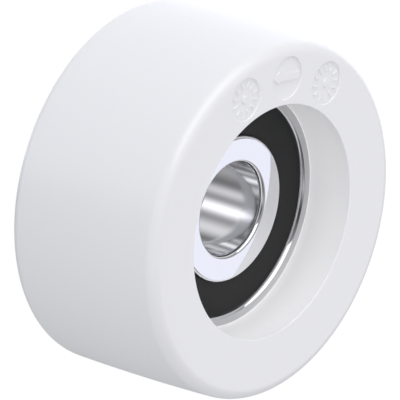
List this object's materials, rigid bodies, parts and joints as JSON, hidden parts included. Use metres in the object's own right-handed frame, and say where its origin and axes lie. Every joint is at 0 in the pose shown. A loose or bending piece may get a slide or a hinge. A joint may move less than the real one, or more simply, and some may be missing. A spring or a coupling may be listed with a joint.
{
  "type": "bearing roller",
  "caption": "White plastic roller with a crowned soft tread moulded over a hard hub, recessed end faces and a sealed ball bearing pressed in for the axle.",
  "frame": {"origin": "middle of the rear end face, on the roller's axis; the roller stands on that face", "axes": "+Z along the axis from the rear face to the front face; +Y towards the middle marking pocket of the front face"},
  "size_m": [0.0492, 0.0492, 0.0248],
  "materials": {
    "tread_urethane": "satin, moulded thermoplastic polyurethane",
    "hub_polyamide": "satin, moulded polyamide",
    "bearing_steel": "ground and polished bearing steel",
    "ball_steel": "lapped bearing steel",
    "cage_steel": "pressed steel sheet",
    "seal_rubber": "moulded nitrile rubber"
  },
  "bodies": {
    "bearing_inner": {"inner_ring": "bearing_steel"},
    "roller": {"tread": "tread_urethane", "hub_core": "hub_polyamide", "outer_ring": "bearing_steel", "seal_front": "seal_rubber", "seal_front_washer": "cage_steel", "seal_rear": "seal_rubber", "seal_rear_washer": "cage_steel"},
    "cage": {"cage_front": "cage_steel", "cage_rear": "cage_steel", "cage_rivets": "cage_steel"},
    "ball_1": {"ball_1": "ball_steel"},
    "ball_2": {"ball_2": "ball_steel"},
    "ball_3": {"ball_3": "ball_steel"},
    "ball_4": {"ball_4": "ball_steel"},
    "ball_5": {"ball_5": "ball_steel"},
    "ball_6": {"ball_6": "ball_steel"},
    "ball_7": {"ball_7": "ball_steel"},
    "ball_8": {"ball_8": "ball_steel"}
  },
  "joints": [
    {"name": "roller_spin", "type": "hinge", "parent": "bearing_inner", "child": "roller", "pos_m": [0, 0, 0.0129], "axis": [0, 0, 1], "continuous": true},
    {"name": "cage_spin", "type": "hinge", "parent": "bearing_inner", "child": "cage", "pos_m": [0, 0, 0.0129], "axis": [0, 0, 1], "continuous": true},
    {"name": "ball_1_spin", "type": "hinge", "parent": "cage", "child": "ball_1", "pos_m": [0.0116, 0, 0.0129], "axis": [0, 0, 1], "continuous": true},
    {"name": "ball_2_spin", "type": "hinge", "parent": "cage", "child": "ball_2", "pos_m": [0.0082, 0.0082, 0.0129], "axis": [0, 0, 1], "continuous": true},
    {"name": "ball_3_spin", "type": "hinge", "parent": "cage", "child": "ball_3", "pos_m": [0, 0.0116, 0.0129], "axis": [0, 0, 1], "continuous": true},
    {"name": "ball_4_spin", "type": "hinge", "parent": "cage", "child": "ball_4", "pos_m": [-0.0082, 0.0082, 0.0129], "axis": [0, 0, 1], "continuous": true},
    {"name": "ball_5_spin", "type": "hinge", "parent": "cage", "child": "ball_5", "pos_m": [-0.0116, 0, 0.0129], "axis": [0, 0, 1], "continuous": true},
    {"name": "ball_6_spin", "type": "hinge", "parent": "cage", "child": "ball_6", "pos_m": [-0.0082, -0.0082, 0.0129], "axis": [0, 0, 1], "continuous": true},
    {"name": "ball_7_spin", "type": "hinge", "parent": "cage", "child": "ball_7", "pos_m": [0, -0.0116, 0.0129], "axis": [0, 0, 1], "continuous": true},
    {"name": "ball_8_spin", "type": "hinge", "parent": "cage", "child": "ball_8", "pos_m": [0.0082, -0.0082, 0.0129], "axis": [0, 0, 1], "continuous": true}
  ],
  "couplings": [
    {"joint": "cage_spin", "follows": "roller_spin", "ratio": 0.61974},
    {"joint": "ball_1_spin", "follows": "roller_spin", "ratio": 1.9681},
    {"joint": "ball_2_spin", "follows": "roller_spin", "ratio": 1.9681},
    {"joint": "ball_3_spin", "follows": "roller_spin", "ratio": 1.9681},
    {"joint": "ball_4_spin", "follows": "roller_spin", "ratio": 1.9681},
    {"joint": "ball_5_spin", "follows": "roller_spin", "ratio": 1.9681},
    {"joint": "ball_6_spin", "follows": "roller_spin", "ratio": 1.9681},
    {"joint": "ball_7_spin", "follows": "roller_spin", "ratio": 1.9681},
    {"joint": "ball_8_spin", "follows": "roller_spin", "ratio": 1.9681}
  ]
}
